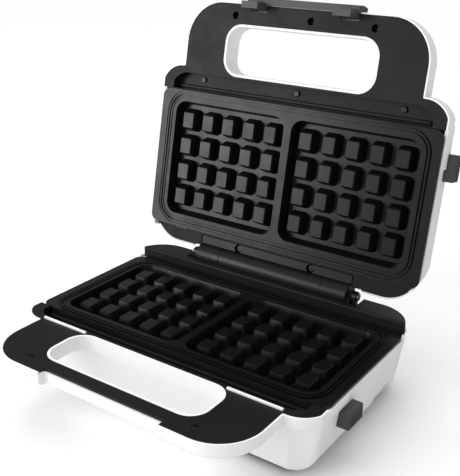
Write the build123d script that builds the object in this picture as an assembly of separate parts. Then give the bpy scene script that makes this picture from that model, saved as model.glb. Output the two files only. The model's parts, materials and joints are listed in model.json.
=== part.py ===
from build123d import *
import os
from math import atan, degrees, radians, tan

os.makedirs("parts", exist_ok=True)

# Double deep waffle maker with lift-out plates, standing open. Millimetres, +Z up, -Y is the
# handle side. The base and the lid are drawn in one "half" frame: y = 0 on the hinge line,
# z = 0 on the flat inner panel face, +z towards the other half. set_base and set_lid then put
# a piece where it stands, with the lid swung open about the hinge axis.

# Driving dimensions of the two halves
OPEN_ANGLE = 101.0          # lid swing from closed to its open stop
AXIS_ABOVE_PANEL = 9.9      # hinge axis over the base panel face
PANEL_GAP = 2.6             # between the two panel faces when closed
PANEL_HEIGHT = 52.0         # base panel face over the table
HALF_WIDTH = 131.7          # body, from the middle to its side
SHOULDER_V = 149.5          # where the body side turns in to the handle
NECK = (110.5, 162.5)       # foot of the handle's side
HANDLE_FRONT = 218.2
HANDLE_CORNER_R = 34.0
LIP = 1.2                   # shell edge left showing round a panel
WALL = 2.6
DRAFT = 7.0                 # of the shell walls, degrees
BODY_FRONT = 160.0
FACET_X = 112.0             # where the front corner facet meets the front wall
REAR_CORNER_R = 31.0

# Base and lid differences
BASE_REAR = -6.0
LID_REAR = 4.0
BASE_DEPTH = 47.0           # shell, below the panel face
LID_DEPTH = 32.0
BASE_HANDLE_DEPTH = 11.5
LID_HANDLE_DEPTH = 18.0
REAR = {"base": BASE_REAR, "lid": LID_REAR}
DEPTH = {"base": BASE_DEPTH, "lid": LID_DEPTH}
EDGE_R = {"base": 5.0, "lid": 10.0}        # outer edge of the tub, and its upright edges
SIDE_ROLL = 14.0            # radius that turns the base's sides under
REAR_ROLL = 9.0
FACET_R = 5.0
HANDLE_EDGE_R = {"base": 4.5, "lid": 6.0}

# Handle window
WINDOW_SIZE = (136.4, 39.0)
WINDOW_V = 179.2
WINDOW_R = 13.0
WINDOW_WALL = 2.0

# Inner panels
PANEL_T = 2.0
SEAM = 0.25                 # gap round a panel
TROUGH_DEPTH = {"base": 6.4, "lid": 8.4}
TROUGH_CORNER = (103.0, 156.0)
TROUGH_END = (120.0, 148.0)
TROUGH_REAR = 141.4
LOBE_TOP = 7.4              # rear block of the base panel, over the panel face
LOBE_FRONT = 15.4
LID_LOBE = -6.0             # rear step of the lid panel

# Waffle plates
PLATE_SIZE = (260.6, 120.8)
PLATE_V = 80.2
PLATE_FACE = -0.3
PLATE_T = 1.9
COLUMNS, ROWS = 5, 4
PITCH = (21.0, 22.6)
CAVITY_X = 58.96
GRID_V = 81.1
CAVITY_SIZE = (111.0, 100.0)
CAVITY_DEPTH = 10.2
CAVITY_DRAFT = 15.0
BLOCK_FOOT = (17.2, 19.7)
BLOCK_TOP = (11.2, 13.7)
BLOCK_FOOT_R = 4.2
BLOCK_HEIGHT = 9.3
TUB_WALL = 2.6
TUB_DRAFT = 12.0
RIB_REACH = (4.3, 7.0)      # two fine ribs round both cavities, from the cavity edge
RIB_T = 1.1
RIB_H = 0.7
GROOVE_REACH = (5.65, 8.4)  # the grooves beside them
GROOVE_T = 1.4
GROOVE_DEPTH = 0.9

# Hinge
BARREL_R = 9.6
BARREL_HALF = 74.0
PIN_R = 2.2
EAR_X = (75.6, 80.6)
EAR_R = 4.2
HINGE_SCREW = (35.8, 12.4)

# Latch on the lid's front edge
LATCH_HALF = 50.0
TAB_X = (33.6, 48.6)
LATCH_PIVOT = (215.4, -8.0)  # v and z in the lid's half frame
LATCH_PIN_R = 1.5
NOTCH_HALF = 52.0
NOTCH_V = 212.9

# Release buttons, whose spring stands on its seat
SPRING_SEAT_X = 111.5
FLANGE_X = 119.6
BUTTON_V = 113.0
BUTTON_Z = -17.9
BUTTON_SIZE = (20.0, 11.4)
BUTTON_END = 138.5

# Feet
FOOT_R = 8.0
FOOT_H = 2.2
FOOT_AT = (92.0, 18.0, 128.0)  # x, rear v, front v

# Screws: x and v of each, in its own half
LID_HANDLE_SCREWS = [(-63.1, 207.4), (8.0, 208.0), (63.1, 207.4)]
LID_TROUGH_SCREWS = [(-93.5, 151.0), (0.0, 151.0), (93.5, 151.0)]
BASE_SCREWS = [(-73.2, 205.0), (73.2, 205.0)]
COVER_SCREWS = [(-102, 40), (102, 40), (-102, 104), (102, 104)]
SHANK_R = 1.25
PILOT_R = 1.3               # hole that a shank cuts its thread in
BOSS_R = 3.6

# Heaters, seen from the panel face
POST_AT = [(-85, 60), (85, 60), (-85, 102), (85, 102)]
ELEMENT_R = 3.2
ELEMENT_Z = -17.0
REFLECTOR_Z = -22.0
POST_TOP = REFLECTOR_Z - 0.85
THERMOSTAT_V = 81.0

# Cord inlet in the rear wall, and the lamps on the lid
INLET_Z = -24.0
CORD_INLET = (-69.0, BASE_REAR - INLET_Z * tan(radians(DRAFT)) + WALL / 2, INLET_Z)
LAMP_X = (-9.0, 9.0)
LAMP_V = 128.0
LAMP_R = 3.2

FAR = 300.0                 # past the object on any side


def at(x, v, z=0.0):
    """A point of the half frame, v being the distance from the hinge towards the handle."""
    return Pos(x, -v, z)


def block(x0, x1, v0, v1, z0, z1):
    """A box between two x, two v and two z values."""
    size = Box(x1 - x0, v1 - v0, z1 - z0)
    return at((x0 + x1) / 2, (v0 + v1) / 2, (z0 + z1) / 2) * size


def both_sides(shape):
    return [shape, mirror(shape, about=Plane.YZ)]


def disc(x, v, radius, z0, z1):
    return at(x, v, (z0 + z1) / 2) * Cylinder(radius, z1 - z0)


def closed_face(right_edges):
    """A face from the edges of its right side, which start and end on x = 0."""
    return make_face(right_edges + [mirror(edge, about=Plane.YZ) for edge in right_edges])


def outline(rear):
    """Plan outline of a half: body, rounded shoulders and handle."""
    neck_x, neck_v = NECK
    bulge = (HALF_WIDTH - 7.2, -(SHOULDER_V + 8.9))
    path = [
        Line((0, -rear), (HALF_WIDTH, -rear)),
        Line((HALF_WIDTH, -rear), (HALF_WIDTH, -SHOULDER_V)),
        ThreePointArc((HALF_WIDTH, -SHOULDER_V), bulge, (neck_x, -neck_v)),
        Line((neck_x, -neck_v), (neck_x, -HANDLE_FRONT)),
        Line((neck_x, -HANDLE_FRONT), (0, -HANDLE_FRONT)),
    ]
    face = closed_face(path)
    rear_corners = face.vertices().group_by(Axis.Y)[-1].sort_by(Axis.X)
    face = fillet([rear_corners[0], rear_corners[-1]], REAR_CORNER_R)
    front_corners = face.vertices().group_by(Axis.Y)[0].sort_by(Axis.X)
    return fillet([front_corners[0], front_corners[-1]], HANDLE_CORNER_R)


def below(face, z_top, depth, taper=0.0):
    return extrude(Pos(0, 0, z_top) * face, amount=depth, dir=(0, 0, -1), taper=taper)


def body_plan(rear, inset, front_r, rear_r):
    """Plan of the body: front corners cut back in a facet below the shoulders, all rounded."""
    facet = [(HALF_WIDTH, -SHOULDER_V), (FACET_X, -BODY_FRONT)]
    right = [(HALF_WIDTH, -rear)] + facet
    left = [(-x, y) for x, y in reversed(right)]
    face = make_face(Polyline(*right, *left, close=True))
    if inset:
        face = offset(face, -inset, kind=Kind.INTERSECTION)
    face = fillet(face.vertices().group_by(Axis.Y)[-1], rear_r)
    corners = [vertex for vertex in face.vertices() if vertex.Y < -SHOULDER_V + 20]
    return fillet(corners, front_r)


def body_tub(kind, inset):
    """The drafted tub of a half, rounded under; the base keeps its front edge square."""
    rear = REAR[kind]
    depth = DEPTH[kind] - inset
    edge_r = EDGE_R[kind] - inset / 2
    far_inset = inset + depth * tan(radians(DRAFT))
    mouth = body_plan(rear, inset, FACET_R - inset / 2, REAR_CORNER_R - inset)
    far = Pos(0, 0, -depth) * body_plan(rear, far_inset, edge_r + 2.0, REAR_CORNER_R - inset)
    tub = loft([mouth, far])
    if kind == "lid":
        return fillet(tub.faces().sort_by(Axis.Z)[0].edges(), edge_r)
    top, bottom = 5.0, -depth - 0.2
    wide = HALF_WIDTH - inset + 0.2
    back = -rear - inset + 0.2
    lean = tan(radians(DRAFT))
    across = [(-wide - top * lean, top), (wide + top * lean, top),
              (wide + bottom * lean, bottom), (-wide - bottom * lean, bottom)]
    along = [(-FAR, top), (back + top * lean, top), (back + bottom * lean, bottom), (-FAR, bottom)]
    across = make_face(Polyline(*across, close=True))
    across = fillet(across.vertices().group_by(Axis.Y)[0], SIDE_ROLL - inset)
    along = make_face(Polyline(*along, close=True))
    along = fillet(along.vertices().group_by(Axis.Y)[0].sort_by(Axis.X)[-1], REAR_ROLL - inset)
    tub = tub & extrude(Plane.XZ * across, amount=FAR, both=True)
    return tub & extrude(Plane.YZ * along, amount=FAR, both=True)


def handle_slab(rear, inset, depth, edge_r):
    """The handle and shoulders as a slab, with its outer edge rounded where edge_r is given."""
    face = outline(rear)
    if inset:
        face = offset(face, -inset)
    slab = below(face, 0, depth) & block(-FAR, FAR, 112, 300, -60, 1)
    if edge_r:
        far = slab.faces().sort_by(Axis.Z)[0]
        rim = [edge for edge in far.edges() if edge.center().Y < -113]
        slab = fillet(rim, edge_r)
    return slab


def window(grow, z0, z1):
    face = RectangleRounded(WINDOW_SIZE[0] + 2 * grow, WINDOW_SIZE[1] + 2 * grow, WINDOW_R + grow)
    return extrude(at(0, WINDOW_V, z0) * face, amount=z1 - z0)


def trough_face():
    """Plan of the drip trough between the plate and the handle."""
    corner_x, corner_v = TROUGH_CORNER
    end_x, end_v = TROUGH_END
    path = [
        Line((0, -TROUGH_REAR), (end_x, -TROUGH_REAR)),
        Line((end_x, -TROUGH_REAR), (end_x, -end_v)),
        ThreePointArc((end_x, -end_v), (114.0, -(corner_v - 2.4)), (corner_x, -corner_v)),
        Line((corner_x, -corner_v), (0, -corner_v)),
    ]
    return closed_face(path)


def bent(parts, cuts=()):
    """Join parts, then cut the rest away."""
    shape = parts[0]
    for part in parts[1:]:
        shape = shape + part
    for cut in cuts:
        shape = shape - cut
    return shape


def shell(kind):
    """White casing of one half."""
    rear = REAR[kind]
    handle_depth = {"base": BASE_HANDLE_DEPTH, "lid": LID_HANDLE_DEPTH}[kind]
    outer = body_tub(kind, 0)
    outer = outer + handle_slab(rear, 0, handle_depth, HANDLE_EDGE_R[kind])
    hollow = body_tub(kind, WALL)
    grip_hollow = handle_slab(rear, WALL, handle_depth - 2.5, 0)
    rebate = below(offset(outline(rear), -LIP), 1, 1 + PANEL_T + 0.1)
    ring = window(WINDOW_WALL, -handle_depth, 0)
    casing = outer - hollow - grip_hollow - rebate + (ring & outer)
    casing = casing - window(0, -60, 20)
    # the plate's rim closes over the side walls
    plate_front = PLATE_V + PLATE_SIZE[1] / 2
    plate_rear = PLATE_V - PLATE_SIZE[1] / 2
    seat = block(-FAR, FAR, plate_rear - 0.6, plate_front + 0.6, PLATE_FACE - PLATE_T - 0.3, 20)
    return casing - seat


def release_opening():
    width, height = BUTTON_SIZE
    return at(HALF_WIDTH - 4, BUTTON_V, BUTTON_Z) * Box(24, width + 0.8, height + 0.8)


def base_shell():
    casing = shell("base")
    front_bar = block(-NOTCH_HALF - 3, NOTCH_HALF + 3, NOTCH_V - 3.4, 217, -11, -PANEL_T - 0.1)
    notch_plan = at(0, NOTCH_V + 10) * RectangleRounded(2 * NOTCH_HALF, 20, 3)
    notch = below(notch_plan, 20, 60)
    hook_ledge = block(-NOTCH_HALF, NOTCH_HALF, NOTCH_V - 3.1, 230, -20, -9.9)
    bottom = at(0, 72) * RectangleRounded(196, 100, 12)
    barrel_gap = block(-84.5, 84.5, -20, 6, -1.1, 30)
    inlet = at(*CORD_INLET) * Rot(-90 - DRAFT, 0, 0) * Cylinder(6.0, 14)
    pilots = [disc(x, v, PILOT_R, -BASE_DEPTH - 1, -BASE_DEPTH + 4) for x, v in COVER_SCREWS]
    # finger scoops low on both sides, cut into a thickened patch of wall
    patch = block(112, 124, 30, 66, -BASE_DEPTH + 8, -27) & body_tub("base", 1)
    scoop = at(HALF_WIDTH + 5.6, 47.5, -BASE_DEPTH + 2.5) * Rot(90, 0, 0) * Cylinder(15.0, 27)
    handle = handle_slab(BASE_REAR, 0, BASE_HANDLE_DEPTH, HANDLE_EDGE_R["base"])
    casing = casing + (front_bar & handle)
    casing = bent([casing] + both_sides(patch))
    cuts = [notch, hook_ledge, below(bottom, -20, 60), barrel_gap, inlet] + pilots
    cuts += both_sides(scoop) + [release_opening()]
    return bent([casing], cuts)


def lid_shell():
    casing = shell("lid")
    bosses = [disc(x, v, BOSS_R, -LID_HANDLE_DEPTH + 1, -8.2) for x, v in LID_HANDLE_SCREWS]
    bosses += [disc(x, v, BOSS_R, -LID_HANDLE_DEPTH + 1, -10.6) for x, v in LID_TROUGH_SCREWS]
    hinge_x, hinge_v = HINGE_SCREW
    bosses += both_sides(disc(hinge_x, hinge_v, BOSS_R, -LID_DEPTH + 1.5, -14.4))
    posts = [disc(x, v, 3.5, -LID_DEPTH + 1.5, POST_TOP) for x, v in POST_AT]
    x0, x1 = TAB_X
    pillow = block(x0 - 4, x1 + 4, 208.6, 216.8, -14.5, -PANEL_T - 0.1)
    slot = block(x0 - 0.4, x1 + 0.4, 211.6, 230, -14.0, 20)
    pin_hole = at((x0 + x1) / 2, *LATCH_PIVOT) * Rot(0, 90, 0) * Cylinder(LATCH_PIN_R + 0.02, 21.4)
    barrel_gap = block(-75.0, 75.0, -20, 16.8, -16, 20)
    ear_gap = block(-83.4, 83.4, -20, 7.0, -16, 20)
    rear_edge = block(-FAR, FAR, -20, 16.4, LID_LOBE - 0.1, 20)
    rear_rebate = below(offset(outline(LID_REAR), -(2 * LIP - SEAM)), 5, 8 - LID_LOBE)
    rear_rebate = rear_rebate & block(-FAR, FAR, -20, 22, -20, 20)
    lamps = [disc(x, LAMP_V, LAMP_R + 0.1, -LID_DEPTH - 5, -LID_DEPTH + 5) for x in LAMP_X]
    casing = bent([casing] + bosses + posts + both_sides(pillow))
    pilots = [disc(x, v, PILOT_R, -LID_HANDLE_DEPTH + 4, 5) for x, v in LID_HANDLE_SCREWS]
    pilots += [disc(x, v, PILOT_R, -LID_HANDLE_DEPTH + 2.5, 5) for x, v in LID_TROUGH_SCREWS]
    pilots += both_sides(disc(hinge_x, hinge_v, PILOT_R, -LID_DEPTH + 6, 5))
    cuts = both_sides(slot) + both_sides(pin_hole) + lamps + pilots
    cuts += [barrel_gap, ear_gap, rear_edge, rear_rebate, release_opening()]
    return bent([casing], cuts)


def panel(kind):
    """Black liner of one half: handle face, drip trough and rear block, tied by side rails."""
    depth = TROUGH_DEPTH[kind]
    plan = offset(outline(REAR[kind]), -(LIP + SEAM))
    plate_front = PLATE_V + PLATE_SIZE[1] / 2 + 0.5
    skin = below(plan, 0, PANEL_T) & block(-FAR, FAR, plate_front, 300, -9, 9)
    trough = trough_face()
    tray_bottom = depth + 1.6
    tray = below(offset(trough, 1.6), -0.4, tray_bottom - 0.4)
    tray = tray & block(-FAR, FAR, TROUGH_REAR - 1.6, 300, -30, 9)
    tray = tray - block(-FAR, FAR, 120, plate_front, -2.6, 9)
    hollow = below(trough, 9, 9 + depth) & block(-FAR, FAR, plate_front - 1, 300, -30, 10)
    rib = block(-116, 116, 142.6, 145.6, -depth - 0.5, -depth + 1.9)
    rib = fillet(rib.edges().filter_by(Axis.X).group_by(Axis.Z)[-1], 0.9)
    rail_start = {"base": 20.0, "lid": 28.0}[kind]
    rails = both_sides(block(122.6, 127.2, rail_start, TROUGH_REAR + 1, -7.4, -2.9))
    body = bent([skin, tray], [hollow, window(WINDOW_WALL + 0.25, -30, 20)])
    return bent([body, rib] + rails)


def base_panel():
    liner = panel("base")
    notch_plan = at(0, NOTCH_V + 8.1) * RectangleRounded(2 * (NOTCH_HALF + 1.4), 20, 3)
    upper_plan = offset(outline(BASE_REAR), -(LIP + SEAM))
    lower_plan = offset(outline(BASE_REAR), -(WALL + 1.4))
    tall = extrude(Pos(0, 0, -PANEL_T) * upper_plan, amount=PANEL_T + LOBE_TOP)
    tall = tall + extrude(Pos(0, 0, -7.4) * lower_plan, amount=7.0)
    rear_block = tall & block(-140, 140, -10, LOBE_FRONT, -9, 9)
    edge = [e for e in rear_block.edges().filter_by(Axis.X) if e.center().Z > LOBE_TOP - 0.1]
    front_edge = sorted(edge, key=lambda e: e.center().Y)[0]
    rear_block = fillet(front_edge, 1.4)
    axis_z = AXIS_ABOVE_PANEL
    barrel_bed = at(0, 0, axis_z) * Rot(0, 90, 0) * Cylinder(BARREL_R + 0.8, 169)
    ear_slots = both_sides(block(EAR_X[0] - 0.3, EAR_X[1] + 0.3, -20, 5.0, -20, 20))
    bed_rear = block(-84.5, 84.5, -20, 0, -1.1, 30)
    cups = [disc(x, v, 3.4, -4.2, -0.5) for x, v in BASE_SCREWS]
    pockets = [disc(x, v, 2.6, -1.3, 5) for x, v in BASE_SCREWS]
    pockets += [disc(x, v, PILOT_R, -9, 5) for x, v in BASE_SCREWS]
    liner = bent([liner] + cups + [rear_block])
    return bent([liner], [below(notch_plan, 20, 60), barrel_bed, bed_rear] + ear_slots + pockets)


def lid_panel():
    liner = panel("lid")
    plan = offset(outline(LID_REAR), -(2 * LIP - SEAM + 0.2))
    rear_step = below(plan, LID_LOBE, 2.9) & block(-FAR, FAR, -10, 21, -20, 9)
    step_wall = block(-120.5, 120.5, 20.4, 26, LID_LOBE - 2.9, -2.9)
    ties = both_sides(block(112, 125, 23, 29, -7.4, -2.9))
    cups = [disc(x, v, 4.4, -8.0, -0.5) for x, v in LID_HANDLE_SCREWS]
    pockets = [disc(x, v, 3.1, -6.0, 5) for x, v in LID_HANDLE_SCREWS]
    pockets += [disc(x, v, PILOT_R, -12, 5) for x, v in LID_HANDLE_SCREWS + LID_TROUGH_SCREWS]
    x0, x1 = TAB_X
    tab_slots = both_sides(block(x0 - 0.4, x1 + 0.4, 211.6, 230, -20, 20))
    barrel_gap = block(-75.0, 75.0, -20, 16.8, -20, 20)
    ear_gap = block(-83.4, 83.4, -20, 7.0, -20, 20)
    liner = bent([liner, rear_step, step_wall] + ties + cups)
    return bent([liner], pockets + tab_slots + [barrel_gap, ear_gap])


def waffle_block():
    """One raised block of the grid, standing on z = 0."""
    foot = RectangleRounded(*BLOCK_FOOT, BLOCK_FOOT_R)
    taper = degrees(atan((BLOCK_FOOT[0] - BLOCK_TOP[0]) / 2 / BLOCK_HEIGHT))
    stud = extrude(foot, amount=BLOCK_HEIGHT, taper=taper)
    return chamfer(stud.faces().sort_by(Axis.Z)[-1].edges(), 0.5)


def grid_spots():
    """Centres of the blocks of one cavity, measured from its middle."""
    spots = []
    for column in range(COLUMNS):
        for row in range(ROWS):
            x = (column - (COLUMNS - 1) / 2) * PITCH[0]
            y = (row - (ROWS - 1) / 2) * PITCH[1]
            spots.append((x, y))
    return spots


def border(reach, thickness):
    """A rounded frame round both cavities, its middle line at a distance from their edge."""
    width = 2 * CAVITY_X + CAVITY_SIZE[0] + 2 * reach
    height = CAVITY_SIZE[1] + 2 * reach
    outer = RectangleRounded(width + thickness, height + thickness, 11 + reach)
    return outer - RectangleRounded(width - thickness, height - thickness, 11 + reach - thickness)


def plate():
    """Cast waffle plate: thin rim, two drafted tubs, a grid of blocks in each, ribs, grooves."""
    rim = below(at(0, PLATE_V) * RectangleRounded(*PLATE_SIZE, 7.0), PLATE_FACE, PLATE_T)
    floor_z = PLATE_FACE - CAVITY_DEPTH
    solid = rim
    for side in (-1, 1):
        outer_plan = RectangleRounded(CAVITY_SIZE[0] + 2 * TUB_WALL, CAVITY_SIZE[1] + 2 * TUB_WALL, 12)
        tub = at(side * CAVITY_X, GRID_V) * outer_plan
        solid = solid + below(tub, PLATE_FACE - 0.2, CAVITY_DEPTH + TUB_WALL - 0.2, TUB_DRAFT)
    for side in (-1, 1):
        inner_plan = at(side * CAVITY_X, GRID_V) * RectangleRounded(*CAVITY_SIZE, 10)
        cavity = below(inner_plan, PLATE_FACE, CAVITY_DEPTH, CAVITY_DRAFT)
        mouth = at(side * CAVITY_X, GRID_V, PLATE_FACE) * RectangleRounded(*CAVITY_SIZE, 10)
        solid = solid - cavity - extrude(mouth, amount=2)
    stud = waffle_block()
    spots = [(side * CAVITY_X + x, y) for side in (-1, 1) for x, y in grid_spots()]
    solid = solid + [Pos(x, y - GRID_V, floor_z - 0.01) * stud for x, y in spots]
    grooves = [extrude(at(0, GRID_V, PLATE_FACE - GROOVE_DEPTH) * border(reach, GROOVE_T), amount=5)
               for reach in GROOVE_REACH]
    ribs = [extrude(at(0, GRID_V, PLATE_FACE - 0.2) * border(reach, RIB_T), amount=RIB_H + 0.2)
            for reach in RIB_REACH]
    solid = bent([solid], grooves) + ribs
    tabs = both_sides(block(89, 101, 18.6, 20.4, PLATE_FACE - PLATE_T, PLATE_FACE - 0.3))
    lug = block(119.4, 121.6, BUTTON_V - 7, BUTTON_V + 7, -10.0, PLATE_FACE - 0.5)
    return bent([solid, lug] + tabs)


def element():
    """Tubular heater: one loop under both cavities, its ends together at the rear."""
    x_end, x_in = 97.0, 11.0
    rear, loop_rear, front = 27.0, 50.0, 112.0
    points = [(-x_in, rear), (-x_in, loop_rear), (-x_end, loop_rear), (-x_end, front)]
    points += [(x, v) for x, v in [(x_end, front), (x_end, loop_rear), (x_in, loop_rear), (x_in, rear)]]
    path = FilletPolyline([(x, -v, ELEMENT_Z) for x, v in points], radius=10.0)
    profile = Plane(origin=path @ 0, z_dir=path % 0) * Circle(ELEMENT_R)
    return sweep(profile, path=path)


def reflector():
    """Shallow sheet dish behind the heater."""
    plan = at(0, THERMOSTAT_V) * RectangleRounded(214, 84, 10)
    inner = offset(plan, -0.8)
    return below(plan, REFLECTOR_Z + 1.8, 2.6) - below(inner, REFLECTOR_Z + 5, 5)


def element_clips():
    saddles = []
    for x, v in [(-60, 112), (60, 112), (-60, 50), (60, 50)]:
        saddle = block(x - 4, x + 4, v - 5, v + 5, REFLECTOR_Z + 0.05, ELEMENT_Z + 1.6)
        rod = at(x, v, ELEMENT_Z) * Rot(0, 90, 0) * Cylinder(ELEMENT_R + 0.03, 20)
        saddles.append(saddle - rod)
    return Compound(children=saddles)


def thermostat():
    """Disc thermostat with its two blade terminals."""
    case = disc(0, THERMOSTAT_V, 8.0, REFLECTOR_Z + 0.05, REFLECTOR_Z + 5.2)
    cap = disc(0, THERMOSTAT_V, 5.6, REFLECTOR_Z + 5, REFLECTOR_Z + 7.4)
    blades = both_sides(block(7, 14, THERMOSTAT_V - 2, THERMOSTAT_V + 2, REFLECTOR_Z + 2.0, REFLECTOR_Z + 2.8))
    return bent([case, cap] + blades)


def screw(x, v, head_z, length, head_r=2.5):
    """Pan-head screw, driven along -z, with a cross recess."""
    head = disc(x, v, head_r, head_z, head_z + 1.6)
    head = fillet(head.faces().sort_by(Axis.Z)[-1].edges(), 0.7)
    shank = disc(x, v, SHANK_R, head_z - length, head_z + 0.1)
    slot = block(x - 1.5, x + 1.5, v - 0.3, v + 0.3, head_z + 0.7, head_z + 3)
    cross = block(x - 0.3, x + 0.3, v - 1.5, v + 1.5, head_z + 0.7, head_z + 3)
    return head + shank - slot - cross


def release_button():
    """Push button: ribbed cap, stop flange and spring spigot."""
    width, height = BUTTON_SIZE
    cap = block(FLANGE_X, BUTTON_END, BUTTON_V - width / 2, BUTTON_V + width / 2,
                BUTTON_Z - height / 2, BUTTON_Z + height / 2)
    cap = fillet(cap.faces().sort_by(Axis.X)[-1].edges(), 1.2)
    grooves = []
    for step in range(-3, 4):
        v = BUTTON_V + step * 2.4
        grooves.append(block(BUTTON_END - 0.6, 150, v - 0.5, v + 0.5,
                             BUTTON_Z - height / 2 + 2, BUTTON_Z + height / 2 - 2))
    flange = block(FLANGE_X, FLANGE_X + 1.8, BUTTON_V - 12, BUTTON_V + 12, BUTTON_Z - 7.5, BUTTON_Z + 5.6)
    spigot = at(FLANGE_X - 1.2, BUTTON_V, BUTTON_Z) * Rot(0, 90, 0) * Cylinder(2.6, 3)
    return bent([cap, flange, spigot], grooves)


def release_spring():
    """Compression spring behind the button."""
    path = Helix(pitch=1.9, height=6.6, radius=3.6)
    profile = Plane(origin=path @ 0, z_dir=path % 0) * Circle(0.35)
    coil = sweep(profile, path=path)
    return at(SPRING_SEAT_X + 0.6, BUTTON_V, BUTTON_Z) * Rot(0, 90, 0) * coil


def release_guide():
    """Bracket that backs the spring and guides the button's flange."""
    top, bottom = BUTTON_Z + 4.3, BUTTON_Z - 8.5
    seat = block(SPRING_SEAT_X - 1.6, SPRING_SEAT_X, BUTTON_V - 13.8, BUTTON_V + 13.8, bottom, top)
    cheeks = []
    for v in (BUTTON_V - 13.0, BUTTON_V + 13.0):
        cheeks.append(block(SPRING_SEAT_X - 1.6, 124.0, v - 0.8, v + 0.8, bottom, top))
    return bent([seat] + cheeks)


def hinge_bracket():
    """Steel strap in the base with an ear at each end for the hinge pin."""
    x0, x1 = EAR_X
    foot_z = -9.6
    strap = block(-x1, x1, -1.6, 4.4, foot_z - 1.5, foot_z)
    ear = block(x0, x1, -1.6, 4.4, foot_z - 1.5, AXIS_ABOVE_PANEL)
    ear = ear + at((x0 + x1) / 2, 0, AXIS_ABOVE_PANEL) * Rot(0, 90, 0) * Cylinder(EAR_R, x1 - x0)
    bore = at(0, 0, AXIS_ABOVE_PANEL) * Rot(0, 90, 0) * Cylinder(PIN_R + 0.01, 400)
    return bent([strap] + both_sides(ear), [bore])


def hinge_pin():
    rod = Rot(0, 90, 0) * Cylinder(PIN_R, 2 * EAR_X[1] + 1)
    heads = both_sides(Pos(EAR_X[1] + 0.75, 0, 0) * Rot(0, 90, 0) * Cylinder(PIN_R + 0.8, 1.4))
    return Pos(0, 0, AXIS_ABOVE_PANEL) * bent([rod] + heads)


def hinge_barrel():
    """Round cover on the lid that turns on the pin, with a flange screwed to the lid."""
    axis_z = -(AXIS_ABOVE_PANEL - PANEL_GAP)
    tube = Pos(0, 0, axis_z) * Rot(0, 90, 0) * Cylinder(BARREL_R, 2 * BARREL_HALF)
    tube = fillet(tube.edges().filter_by(GeomType.CIRCLE), 0.8)
    flange = block(-BARREL_HALF, BARREL_HALF, 1, 16.2, axis_z - 6.8, LID_LOBE)
    seams = both_sides(Pos(50, 0, axis_z) * Rot(0, 90, 0) * Cylinder(BARREL_R + 1, 0.5))
    core = Pos(0, 0, axis_z) * Rot(0, 90, 0) * Cylinder(BARREL_R - 0.4, 2 * BARREL_HALF - 4)
    bore = Pos(0, 0, axis_z) * Rot(0, 90, 0) * Cylinder(PIN_R + 0.05, 200)
    x, v = HINGE_SCREW
    pockets = both_sides(disc(x, v, 3.7, axis_z - 2.4, 10)) + both_sides(disc(x, v, 1.35, -30, 10))
    return bent([bent([tube], seams), core, flange], [bore] + pockets)


def latch():
    """Grip bar with two hook tabs, turning on its pins."""
    x0, x1 = TAB_X
    bar_profile = Polyline((-219.0, -10.5), (-222.0, -10.5), (-223.2, -3.0), (-222.6, 4.6),
                           (-217.2, 4.6), (-217.2, 0.7), (-219.0, 0.7), close=True)
    bar = extrude(Plane.YZ * make_face(bar_profile), amount=LATCH_HALF, both=True)
    tab_profile = Polyline((-212.9, -11.0), (-218.3, -11.0), (-219.3, -6.0), (-219.3, 4.0),
                           (-218.6, 15.5), (-213.2, 15.5), (-213.2, 13.6), (-215.4, 13.0),
                           (-214.0, 1.0), (-212.9, -3.0), close=True)
    tab = Pos(x0, 0, 0) * extrude(Plane.YZ * make_face(tab_profile), amount=x1 - x0)
    pivot = at(0, *LATCH_PIVOT) * Rot(0, 90, 0) * Cylinder(LATCH_PIN_R + 0.05, 200)
    return bent([bar] + both_sides(tab), [pivot])


def bottom_cover():
    """Black underside plate with its rim under the shell, inlet ribs and heater posts."""
    z_top = -BASE_DEPTH
    plate_plan = at(0, 79) * RectangleRounded(226, 147, 8)
    plate_solid = below(plate_plan, z_top - 0.05, 2.9)
    plate_solid = chamfer(plate_solid.faces().sort_by(Axis.Z)[0].edges(), 0.8)
    spigot = extrude(at(0, 72, z_top - 0.1) * RectangleRounded(195, 99, 11.5), amount=3.1)
    spigot = spigot - extrude(at(0, 72, z_top) * RectangleRounded(190, 94, 9), amount=5)
    posts = [disc(x, v, 4.0, z_top - 0.5, POST_TOP) for x, v in POST_AT]
    slots = [block(x - 1.2, x + 1.2, 62, 86, z_top - 5, z_top + 1) for x in range(-40, 41, 10)]
    holes = [disc(x, v, 1.5, z_top - 5, z_top + 1) for x, v in COVER_SCREWS]
    sinks = [disc(x, v, 3.0, z_top - 5, z_top - 1.2) for x, v in COVER_SCREWS]
    return bent([plate_solid, spigot] + posts, slots + holes + sinks)


def cover_screws():
    flipped = []
    for x, v in COVER_SCREWS:
        drive = Pos(x, -v, -BASE_DEPTH - 1.2) * Rot(180, 0, 0) * screw(0, 0, 0, 2.2, 2.4)
        flipped.append(drive)
    return Compound(children=flipped)


def feet():
    x, rear, front = FOOT_AT
    pads = []
    for side in (-1, 1):
        for v in (rear, front):
            pad = disc(side * x, v, FOOT_R, -PANEL_HEIGHT, -PANEL_HEIGHT + FOOT_H - 0.15)
            pad = fillet(pad.faces().sort_by(Axis.Z)[0].edges(), 0.8)
            pads.append(pad)
    return Compound(children=pads)


def cord_grommet():
    """Flanged rubber gland in the rear wall; its bore takes the lead."""
    neck = Cylinder(5.95, 6.0)
    flanges = [Pos(0, 0, 2.6) * Cylinder(8.6, 2.0), Pos(0, 0, -2.6) * Cylinder(7.6, 1.6)]
    tail = Pos(0, 0, 4.4) * Cone(6.4, 4.9, 2.4)
    gland = bent([neck] + flanges + [tail], [Cylinder(3.6, 40)])
    return at(*CORD_INLET) * Rot(-90 - DRAFT, 0, 0) * gland


def terminal_block():
    body = block(-84, -54, 12, 26, -43.6, -34)
    clamps = [disc(x, 19, 2.6, -36, -30) for x in (-78, -69, -60)]
    return bent([body], clamps)


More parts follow.
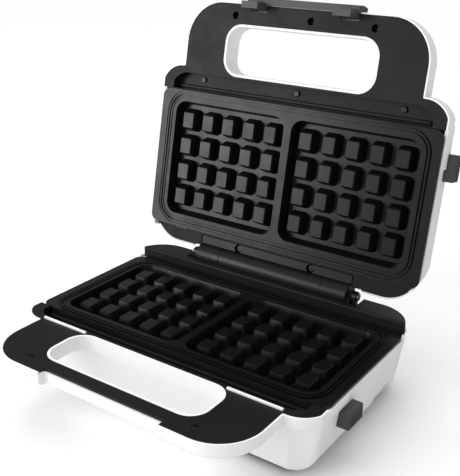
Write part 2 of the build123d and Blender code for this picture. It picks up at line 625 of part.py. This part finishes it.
def thermal_fuse():
    capsule = at(34, THERMOSTAT_V, REFLECTOR_Z + 2.4) * Rot(0, 90, 0) * Cylinder(2.0, 12)
    leads = at(34, THERMOSTAT_V, REFLECTOR_Z + 2.4) * Rot(0, 90, 0) * Cylinder(0.5, 26)
    return capsule + leads


def lamp_lenses():
    lenses = []
    for x in LAMP_X:
        dome = disc(x, LAMP_V, LAMP_R, -LID_DEPTH - 0.6, -LID_DEPTH + 3.4)
        lenses.append(fillet(dome.faces().sort_by(Axis.Z)[0].edges(), 0.5))
    return Compound(children=lenses)


def lamp_board():
    board = block(-20, 20, LAMP_V - 6, LAMP_V + 6, -LID_DEPTH + 5.6, -LID_DEPTH + 6.8)
    lamps = [disc(x, LAMP_V, 2.0, -LID_DEPTH + 3.8, -LID_DEPTH + 6) for x in LAMP_X]
    return bent([board] + lamps)


def trim_strips():
    strip = block(64.6, 108.0, 157.5, 159.4, 0.0, 1.5)
    strip = fillet(strip.edges().filter_by(Axis.X).group_by(Axis.Z)[-1], 0.5)
    return Compound(children=both_sides(strip))


def latch_pins():
    x0, x1 = TAB_X
    pin = at((x0 + x1) / 2, *LATCH_PIVOT) * Rot(0, 90, 0) * Cylinder(LATCH_PIN_R, 21.0)
    return Compound(children=both_sides(pin))


def set_base(shape):
    return Pos(0, 0, -AXIS_ABOVE_PANEL) * shape


def set_lid(shape):
    """Turn a lid piece face down over the base, then swing it open about the hinge."""
    closed = Pos(0, 0, PANEL_GAP - AXIS_ABOVE_PANEL) * mirror(shape, about=Plane.XY)
    return closed.rotate(Axis.X, -OPEN_ANGLE)


base_nodes = {
    "base_shell": base_shell(),
    "base_panel": base_panel(),
    "base_trim_strips": trim_strips(),
    "bottom_cover": bottom_cover(),
    "bottom_cover_screws": cover_screws(),
    "rubber_feet": feet(),
    "cord_grommet": cord_grommet(),
    "terminal_block": terminal_block(),
    "hinge_bracket": hinge_bracket(),
    "hinge_pin": hinge_pin(),
    "base_panel_screws": Compound(children=[screw(x, v, -1.3, 3.0, 2.3) for x, v in BASE_SCREWS]),
    "thermal_fuse": thermal_fuse(),
}
lid_nodes = {
    "lid_shell": lid_shell(),
    "lid_panel": lid_panel(),
    "hinge_barrel": hinge_barrel(),
    "hinge_barrel_screws": Compound(children=both_sides(screw(*HINGE_SCREW, -9.7, 13.0, 2.6))),
    "lid_handle_screws": Compound(children=[screw(x, v, -6.0, 7.0) for x, v in LID_HANDLE_SCREWS]),
    "lid_trough_screws": Compound(children=[screw(x, v, -8.4, 6.0) for x, v in LID_TROUGH_SCREWS]),
    "latch": latch(),
    "latch_pins": latch_pins(),
    "lamp_lenses": lamp_lenses(),
    "lamp_board": lamp_board(),
}
twin_nodes = {
    "plate": plate(),
    "heating_element": element(),
    "element_clips": element_clips(),
    "reflector": reflector(),
    "thermostat": thermostat(),
    "release_button": release_button(),
    "release_spring": release_spring(),
    "release_guide": release_guide(),
}

nodes = {name: set_base(shape) for name, shape in base_nodes.items()}
nodes.update({name: set_lid(shape) for name, shape in lid_nodes.items()})
for name, shape in twin_nodes.items():
    nodes["lower_" + name] = set_base(shape)
    nodes["upper_" + name] = set_lid(shape)

# The origin is the middle of the open object's box, on the table.
box = Compound(children=[Compound(list(shape.solids())) for shape in nodes.values()]).bounding_box()
home = Pos(-box.center().X, -box.center().Y, -box.min.Z)
print("hinge axis at", (home * Pos(0, 0, 0)).position)
for name, shape in nodes.items():
    export_step(home * shape, f"parts/{name}.step")
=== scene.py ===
import json
from math import cos, radians, sin

import bpy
from mathutils import Matrix, Vector


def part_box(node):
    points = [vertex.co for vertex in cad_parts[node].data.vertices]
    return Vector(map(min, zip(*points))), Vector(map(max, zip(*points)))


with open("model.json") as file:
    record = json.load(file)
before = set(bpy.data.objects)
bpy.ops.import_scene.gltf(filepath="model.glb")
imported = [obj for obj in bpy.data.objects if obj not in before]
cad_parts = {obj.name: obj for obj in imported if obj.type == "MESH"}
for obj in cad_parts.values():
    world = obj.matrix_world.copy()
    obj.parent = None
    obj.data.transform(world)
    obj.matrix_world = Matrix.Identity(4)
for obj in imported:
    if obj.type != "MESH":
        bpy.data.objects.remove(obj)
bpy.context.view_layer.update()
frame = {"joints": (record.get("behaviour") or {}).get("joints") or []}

# White casings. The base and the lid each have one injection-moulded ABS shell with a loop
# handle, left with a satin gloss straight from the tool: faint orange peel, no paint, and
# slightly duller where hands and cloths have rubbed it.


def new_material(name, color, roughness, metallic=0.0):
    """A material and its Principled shader, set to the plain values of the finish."""
    material = bpy.data.materials.new(name)
    material.use_nodes = True
    shader = material.node_tree.nodes["Principled BSDF"]
    shader.inputs["Base Color"].default_value = (*color, 1.0)
    shader.inputs["Roughness"].default_value = roughness
    shader.inputs["Metallic"].default_value = metallic
    return material, shader


def coat_nodes(material, *names):
    """Give each named CAD piece this material on all of its slots."""
    for name in names:
        piece = bpy.data.objects[name]
        if not piece.material_slots:
            piece.data.materials.append(material)
        for slot in piece.material_slots:
            slot.link = "OBJECT"
            slot.material = material


def new_group(name, inputs, outputs):
    """An empty shader group, what it is given and what it puts out."""
    group = bpy.data.node_groups.new(name, "ShaderNodeTree")
    for label, kind, default in inputs:
        socket = group.interface.new_socket(label, in_out="INPUT", socket_type="NodeSocket" + kind)
        socket.default_value = default
    for label, kind in outputs:
        group.interface.new_socket(label, in_out="OUTPUT", socket_type="NodeSocket" + kind)
    entry = group.nodes.new("NodeGroupInput")
    leave = group.nodes.new("NodeGroupOutput")
    return group, entry.outputs, leave.inputs


def feed(tree, value, socket):
    """Link a socket to another one, or give it a plain value."""
    if isinstance(value, bpy.types.NodeSocket):
        tree.links.new(value, socket)
    else:
        socket.default_value = value


def own_space(tree):
    """The piece's own space, in metres, so that a texture stays on the piece as it moves."""
    return tree.nodes.new("ShaderNodeTexCoord").outputs["Object"]


def noise(tree, space, scale, detail, distortion=0.0):
    """A cloudy texture, its scale in clouds per metre."""
    node = tree.nodes.new("ShaderNodeTexNoise")
    feed(tree, space, node.inputs["Vector"])
    feed(tree, scale, node.inputs["Scale"])
    feed(tree, detail, node.inputs["Detail"])
    feed(tree, distortion, node.inputs["Distortion"])
    return node.outputs["Fac"]


def spread(tree, source, from_min, from_max, to_min, to_max):
    """Stretch one part of a texture's values over another range."""
    node = tree.nodes.new("ShaderNodeMapRange")
    feed(tree, source, node.inputs["Value"])
    feed(tree, from_min, node.inputs["From Min"])
    feed(tree, from_max, node.inputs["From Max"])
    feed(tree, to_min, node.inputs["To Min"])
    feed(tree, to_max, node.inputs["To Max"])
    return node.outputs["Result"]


def darken(tree, color, factor):
    """A colour times a varying factor."""
    node = tree.nodes.new("ShaderNodeVectorMath")
    node.operation = "SCALE"
    feed(tree, color, node.inputs[0])
    feed(tree, factor, node.inputs["Scale"])
    return node.outputs["Vector"]


def relief(tree, height, strength, depth):
    """A bump whose full depth is in metres."""
    node = tree.nodes.new("ShaderNodeBump")
    feed(tree, depth, node.inputs["Distance"])
    feed(tree, strength, node.inputs["Strength"])
    feed(tree, height, node.inputs["Height"])
    return node.outputs["Normal"]


SKIN_OUTPUTS = [("Color", "Color"), ("Roughness", "Float"), ("Normal", "Vector")]


def moulded_surface_group():
    """Moulded plastic: tone drift, rubbed patches that change the gloss, and a fine texture."""
    inputs = [
        ("Color", "Color", (0.8, 0.8, 0.8, 1.0)),
        ("Tone Drift", "Float", 0.04),
        ("Gloss", "Float", 0.3),
        ("Rubbed Gloss", "Float", 0.42),
        ("Texture Scale", "Float", 1500.0),
        ("Texture Depth", "Float", 0.1),
    ]
    group, given, put_out = new_group("moulded surface", inputs, SKIN_OUTPUTS)
    space = own_space(group)

    darkest = group.nodes.new("ShaderNodeMath")
    darkest.operation = "SUBTRACT"
    feed(group, 1.0, darkest.inputs[0])
    feed(group, given["Tone Drift"], darkest.inputs[1])
    patches = noise(group, space, scale=14.0, detail=6.0)
    tone = spread(group, patches, 0.3, 0.7, 1.0, darkest.outputs["Value"])
    feed(group, darken(group, given["Color"], tone), put_out["Color"])

    smears = noise(group, space, scale=45.0, detail=8.0, distortion=0.6)
    gloss = spread(group, smears, 0.4, 0.75, given["Gloss"], given["Rubbed Gloss"])
    feed(group, gloss, put_out["Roughness"])

    texture = noise(group, space, given["Texture Scale"], detail=2.0)
    normal = relief(group, texture, given["Texture Depth"], depth=0.0002)
    feed(group, normal, put_out["Normal"])
    return group


def skin(name, group, color, roughness, metallic=0.0, **values):
    """A material that a group gives its colour, gloss and relief; underscores stand for spaces."""
    material, shader = new_material(name, color, roughness, metallic)
    node = material.node_tree.nodes.new("ShaderNodeGroup")
    node.node_tree = group
    for label, value in values.items():
        node.inputs[label.replace("_", " ")].default_value = value
    for output, socket in (("Color", "Base Color"), ("Roughness", "Roughness"), ("Normal", "Normal")):
        feed(material.node_tree, node.outputs[output], shader.inputs[socket])
    return material, shader


moulded_surface = moulded_surface_group()


def moulded_plastic(name, color, gloss, rubbed, grain_scale, grain_depth, drift, specular=0.5):
    """A moulded plastic: its colour, gloss as moulded and as rubbed, and its grain per metre."""
    material, shader = skin(
        name, moulded_surface, color, gloss, Color=(*color, 1.0), Tone_Drift=drift, Gloss=gloss,
        Rubbed_Gloss=rubbed, Texture_Scale=grain_scale, Texture_Depth=grain_depth)
    shader.inputs["Specular IOR Level"].default_value = specular
    return material


casing_white = moulded_plastic(
    "satin white ABS", (0.86, 0.86, 0.855), gloss=0.34, rubbed=0.38,
    grain_scale=420.0, grain_depth=0.04, drift=0.008, specular=0.35)
coat_nodes(casing_white, "base_shell", "lid_shell")

# Black liners. Each half is lined with a heat-resistant nylon moulding that holds the plate's
# rim, the drip trough and the rear block, spark-eroded to a fine matte grain and screwed down
# into bosses of the casing.
liner_black = moulded_plastic(
    "spark-grained black nylon", (0.011, 0.011, 0.0115), gloss=0.42, rubbed=0.52,
    grain_scale=1900.0, grain_depth=0.22, drift=0.2, specular=0.32)
coat_nodes(liner_black, "base_panel", "lid_panel")

# Bright trim. Two thin strips of gloss white plastic edge the base's trough on either side of
# the handle window. They are moulded in a polished tool and pushed into the liner.
trim_white = moulded_plastic(
    "gloss white trim", (0.90, 0.90, 0.895), gloss=0.22, rubbed=0.26,
    grain_scale=420.0, grain_depth=0.02, drift=0.005)
coat_nodes(trim_white, "base_trim_strips")

# Waffle plates. Two identical aluminium castings, each with two tubs and a grid of tapered
# blocks, sprayed with a near-black non-stick coat that shows a fine speckle and dries to a
# slightly cloudy gloss. They lift out once a side button frees them.


def non_stick_group():
    """Sprayed non-stick coat: mica speckle, cloudy gloss and the spray's faint pebble."""
    inputs = [
        ("Color", "Color", (0.04, 0.04, 0.04, 1.0)),
        ("Speckle Color", "Color", (0.2, 0.2, 0.2, 1.0)),
        ("Speckle Scale", "Float", 2400.0),
        ("Gloss", "Float", 0.3),
        ("Dull Gloss", "Float", 0.4),
        ("Pebble Depth", "Float", 0.15),
    ]
    group, given, put_out = new_group("non-stick coat", inputs, SKIN_OUTPUTS)
    space = own_space(group)

    flakes = group.nodes.new("ShaderNodeTexVoronoi")
    feed(group, space, flakes.inputs["Vector"])
    feed(group, given["Speckle Scale"], flakes.inputs["Scale"])
    glint = spread(group, flakes.outputs["Distance"], 0.12, 0.26, 0.6, 0.0)
    mix = group.nodes.new("ShaderNodeMix")
    mix.data_type = "RGBA"
    feed(group, glint, mix.inputs["Factor"])
    feed(group, given["Color"], mix.inputs["A"])
    feed(group, given["Speckle Color"], mix.inputs["B"])
    feed(group, mix.outputs["Result"], put_out["Color"])

    clouds = noise(group, space, scale=60.0, detail=6.0)
    gloss = spread(group, clouds, 0.35, 0.65, given["Gloss"], given["Dull Gloss"])
    feed(group, gloss, put_out["Roughness"])

    pebble = noise(group, space, scale=900.0, detail=3.0)
    normal = relief(group, pebble, given["Pebble Depth"], depth=0.0002)
    feed(group, normal, put_out["Normal"])
    return group


plate_coat, plate_shader = skin(
    "speckled non-stick coat", non_stick_group(), (0.03, 0.03, 0.032), 0.34,
    Color=(0.0045, 0.0045, 0.0047, 1.0), Speckle_Color=(0.035, 0.035, 0.036, 1.0),
    Speckle_Scale=2400.0, Gloss=0.29, Dull_Gloss=0.36, Pebble_Depth=0.12)
plate_shader.inputs["IOR"].default_value = 1.5
coat_nodes(plate_coat, "lower_plate", "upper_plate")

# Hinge. A round black barrel on the lid turns on a plain steel pin, whose ends sit in the two
# ears of a grey plated strap riveted inside the base. The barrel is a satin nylon moulding.


def brushed_metal_group():
    """Fine brushing along X: streaks in tone and gloss, and their shallow relief."""
    inputs = [
        ("Color", "Color", (0.6, 0.6, 0.6, 1.0)),
        ("Streak Depth", "Float", 0.2),
        ("Gloss", "Float", 0.25),
        ("Dull Gloss", "Float", 0.45),
    ]
    group, given, put_out = new_group("brushed metal", inputs, SKIN_OUTPUTS)
    along, across = 60.0, 2600.0
    stretch = group.nodes.new("ShaderNodeMapping")
    feed(group, own_space(group), stretch.inputs["Vector"])
    feed(group, (along, across, across), stretch.inputs["Scale"])
    streaks = noise(group, stretch.outputs["Vector"], scale=1.0, detail=4.0)

    tone = spread(group, streaks, 0.0, 1.0, 1.0, 0.82)
    feed(group, darken(group, given["Color"], tone), put_out["Color"])
    gloss = spread(group, streaks, 0.0, 1.0, given["Gloss"], given["Dull Gloss"])
    feed(group, gloss, put_out["Roughness"])
    normal = relief(group, streaks, given["Streak Depth"], depth=0.00005)
    feed(group, normal, put_out["Normal"])
    return group


brushed_metal = brushed_metal_group()


def metal(name, color, gloss, dull, streaks):
    """A bare or plated metal with the brushed surface's streaks."""
    return skin(
        name, brushed_metal, color, gloss, metallic=1.0, Color=(*color, 1.0),
        Streak_Depth=streaks, Gloss=gloss, Dull_Gloss=dull)[0]


barrel_black = moulded_plastic(
    "satin barrel nylon", (0.012, 0.012, 0.0125), gloss=0.34, rubbed=0.42,
    grain_scale=1500.0, grain_depth=0.12, drift=0.15)
coat_nodes(barrel_black, "hinge_barrel")
pin_steel = metal("ground pin steel", (0.34, 0.34, 0.35), gloss=0.25, dull=0.4, streaks=0.15)
coat_nodes(pin_steel, "hinge_pin")
strap_grey = metal("grey plated strap", (0.09, 0.09, 0.093), gloss=0.35, dull=0.5, streaks=0.2)
coat_nodes(strap_grey, "hinge_bracket")

# Latch. A grey glass-filled nylon grip bar with two hook tabs, moulded in one piece and turning
# on two short steel pins in the front edge of the lid's handle.
latch_grey = moulded_plastic(
    "grey latch nylon", (0.066, 0.067, 0.069), gloss=0.40, rubbed=0.5,
    grain_scale=1300.0, grain_depth=0.18, drift=0.1)
coat_nodes(latch_grey, "latch")
latch_steel = metal("latch pin steel", (0.55, 0.55, 0.56), gloss=0.25, dull=0.4, streaks=0.15)
coat_nodes(latch_steel, "latch_pins")

# Plate release. A dark grey push button with a ribbed end stands out of the right side of each
# half, backed by a black nylon guide and a coiled spring-steel spring.
button_grey = moulded_plastic(
    "dark grey button plastic", (0.058, 0.059, 0.061), gloss=0.42, rubbed=0.52,
    grain_scale=1500.0, grain_depth=0.2, drift=0.1)
coat_nodes(button_grey, "lower_release_button", "upper_release_button")
guide_black = moulded_plastic(
    "black guide nylon", (0.02, 0.02, 0.02), gloss=0.5, rubbed=0.6,
    grain_scale=1500.0, grain_depth=0.2, drift=0.1)
coat_nodes(guide_black, "lower_release_guide", "upper_release_guide")
spring_steel = metal("drawn spring steel", (0.5, 0.5, 0.5), gloss=0.25, dull=0.4, streaks=0.1)
coat_nodes(spring_steel, "lower_release_spring", "upper_release_spring")

# Screws. Pan-head screws with a cross recess hold the liners, the barrel and the
# underside cover; they sit in pockets in the black mouldings. Their metal is coloured near black
# as painted shade, standing in for the shade inside those pockets.
screw_pocket_shade = metal("screws darkened as pocket shade", (0.09, 0.09, 0.092), gloss=0.28, dull=0.42, streaks=0.2)
coat_nodes(screw_pocket_shade, "base_panel_screws", "lid_handle_screws", "lid_trough_screws",
           "hinge_barrel_screws", "bottom_cover_screws")

# Heaters. Behind each plate a steel-sheathed tube element lies in saddle clips on a shallow
# aluminised dish, with a disc thermostat in the middle and, in the base, a thermal fuse.
sheath = metal(
    "oxidised element sheath", (0.17, 0.15, 0.14), gloss=0.42, dull=0.6, streaks=0.2)
coat_nodes(sheath, "lower_heating_element", "upper_heating_element")
dish_metal = metal("aluminised sheet", (0.62, 0.62, 0.63), gloss=0.3, dull=0.5, streaks=0.2)
coat_nodes(dish_metal, "lower_reflector", "upper_reflector",
           "lower_element_clips", "upper_element_clips")
ceramic = moulded_plastic(
    "cream ceramic", (0.62, 0.58, 0.5), gloss=0.45, rubbed=0.6,
    grain_scale=900.0, grain_depth=0.3, drift=0.1)
coat_nodes(ceramic, "lower_thermostat", "upper_thermostat", "thermal_fuse", "terminal_block")

# Underside. A black ribbed cover closes the base and carries four soft rubber feet; the lead
# enters through a flanged rubber gland in the rear wall. The cover's black is partly its own
# colour and partly painted shade: its thin edge showing under the shell's front stands in for
# the contact shadow there.
cover_black_contact_shade = moulded_plastic(
    "black cover plastic and contact shade", (0.02, 0.02, 0.02), gloss=0.5, rubbed=0.6,
    grain_scale=1300.0, grain_depth=0.25, drift=0.15)
coat_nodes(cover_black_contact_shade, "bottom_cover")
rubber = moulded_plastic(
    "soft black rubber", (0.018, 0.018, 0.018), gloss=0.7, rubbed=0.85,
    grain_scale=900.0, grain_depth=0.35, drift=0.3)
coat_nodes(rubber, "rubber_feet", "cord_grommet")

# Lamps. Two tinted lenses, red for power and green for ready, sit over small lamps on a
# laminate board inside the lid. Both lenses are one piece, tinted by which side they are on.
lens_tint, lens_shader = new_material("tinted lens", (0.5, 0.06, 0.03), 0.12)
lens_shader.inputs["Coat Weight"].default_value = 0.4
lens_tree = lens_tint.node_tree
lens_low, lens_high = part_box("lamp_lenses")
split = lens_tree.nodes.new("ShaderNodeSeparateXYZ")
feed(lens_tree, own_space(lens_tree), split.inputs["Vector"])
right_lens = lens_tree.nodes.new("ShaderNodeMath")
right_lens.operation = "GREATER_THAN"
feed(lens_tree, split.outputs["X"], right_lens.inputs[0])
feed(lens_tree, (lens_low[0] + lens_high[0]) / 2, right_lens.inputs[1])
tint = lens_tree.nodes.new("ShaderNodeMix")
tint.data_type = "RGBA"
power_red, ready_green = (0.5, 0.04, 0.02, 1.0), (0.03, 0.36, 0.07, 1.0)
feed(lens_tree, right_lens.outputs["Value"], tint.inputs["Factor"])
feed(lens_tree, power_red, tint.inputs["A"])
feed(lens_tree, ready_green, tint.inputs["B"])
feed(lens_tree, tint.outputs["Result"], lens_shader.inputs["Base Color"])
coat_nodes(lens_tint, "lamp_lenses")
board = moulded_plastic(
    "laminate board", (0.25, 0.2, 0.1), gloss=0.5, rubbed=0.6,
    grain_scale=900.0, grain_depth=0.2, drift=0.1)
coat_nodes(board, "lamp_board")

# Studio. A plain pale floor, broad soft lights and the camera at the height and angle of a
# catalogue view from the front right. None of it is part of the waffle maker.
floor_mesh = bpy.data.meshes.new("studio floor")
reach = 6.0
floor_mesh.from_pydata(
    [(-reach, -reach, 0.0), (reach, -reach, 0.0), (reach, reach, 0.0), (-reach, reach, 0.0)],
    [], [(0, 1, 2, 3)])
floor = bpy.data.objects.new("studio_floor", floor_mesh)
bpy.context.collection.objects.link(floor)
floor_mesh.materials.append(new_material("pale floor", (0.9, 0.9, 0.9), 0.6)[0])
floor.visible_glossy = False

# The room glows white. Glossy parts see it dim, so that black mouldings stay black.
seen_glow, reflected_glow, lighting_glow = 1.0, 0.22, 0.55
world = bpy.data.worlds.new("studio")
world.use_nodes = True
room = world.node_tree
backdrop = room.nodes["Background"]
feed(room, (1.0, 1.0, 1.0, 1.0), backdrop.inputs["Color"])
path = room.nodes.new("ShaderNodeLightPath")
for_gloss = room.nodes.new("ShaderNodeMix")
feed(room, path.outputs["Is Glossy Ray"], for_gloss.inputs["Factor"])
feed(room, lighting_glow, for_gloss.inputs["A"])
feed(room, reflected_glow, for_gloss.inputs["B"])
for_camera = room.nodes.new("ShaderNodeMix")
feed(room, path.outputs["Is Camera Ray"], for_camera.inputs["Factor"])
feed(room, for_gloss.outputs["Result"], for_camera.inputs["A"])
feed(room, seen_glow, for_camera.inputs["B"])
feed(room, for_camera.outputs["Result"], backdrop.inputs["Strength"])
bpy.context.scene.world = world
bpy.context.scene.view_settings.view_transform = "Standard"


def aimed(name, lamp, place, aim):
    """Hang a lamp at a place, facing a point."""
    holder = bpy.data.objects.new(name, lamp)
    holder.location = place
    holder.rotation_euler = (Vector(aim) - Vector(place)).to_track_quat("-Z", "Y").to_euler()
    bpy.context.collection.objects.link(holder)
    return holder


def softbox(name, place, aim, width, height, watts):
    """A softbox that also shows as a highlight in the glossy parts."""
    lamp = bpy.data.lights.new(name, "AREA")
    lamp.shape = "RECTANGLE"
    lamp.size = width
    lamp.size_y = height
    lamp.energy = watts
    aimed(name, lamp, place, aim)


def light_bank(name, place, strength, spread_degrees):
    """An even light from one side, behind a scrim: soft shadows and no highlight."""
    lamp = bpy.data.lights.new(name, "SUN")
    lamp.energy = strength
    lamp.angle = radians(spread_degrees)
    aimed(name, lamp, place, (0, 0, 0)).visible_glossy = False


light_bank("ceiling bank", (-0.35, 0.25, 1.0), strength=1.9, spread_degrees=70.0)
light_bank("front bank", (-0.4, -1.0, 0.55), strength=0.8, spread_degrees=50.0)
softbox("left softbox", (-0.95, -1.15, 0.35), aim=(0, 0.05, 0.15), width=0.5, height=0.9, watts=7.0)

# The camera stands off the lid's hinge and is turned a little about its own axis.
hinge = Vector(next(j["pos_m"] for j in frame["joints"] if j["name"] == "lid_hinge"))
stand_off = Vector((0.3272, -0.5397, 0.2831))
azimuth, elevation, roll = radians(34.5), radians(21.8), radians(0.77)
right = Vector((cos(azimuth), sin(azimuth), 0.0))
back = Vector((sin(azimuth) * cos(elevation), -cos(azimuth) * cos(elevation), sin(elevation)))
up = back.cross(right)
rolled_right = cos(roll) * right + sin(roll) * up
rolled_up = cos(roll) * up - sin(roll) * right
turn = Matrix((rolled_right, rolled_up, back)).transposed().to_4x4()
camera = bpy.data.cameras.new("camera")
camera.sensor_fit = "VERTICAL"
camera.sensor_height = 36.0
camera.lens = 61.3
eye = bpy.data.objects.new("camera", camera)
eye.matrix_world = Matrix.Translation(hinge + stand_off) @ turn
bpy.context.collection.objects.link(eye)
bpy.context.scene.camera = eye
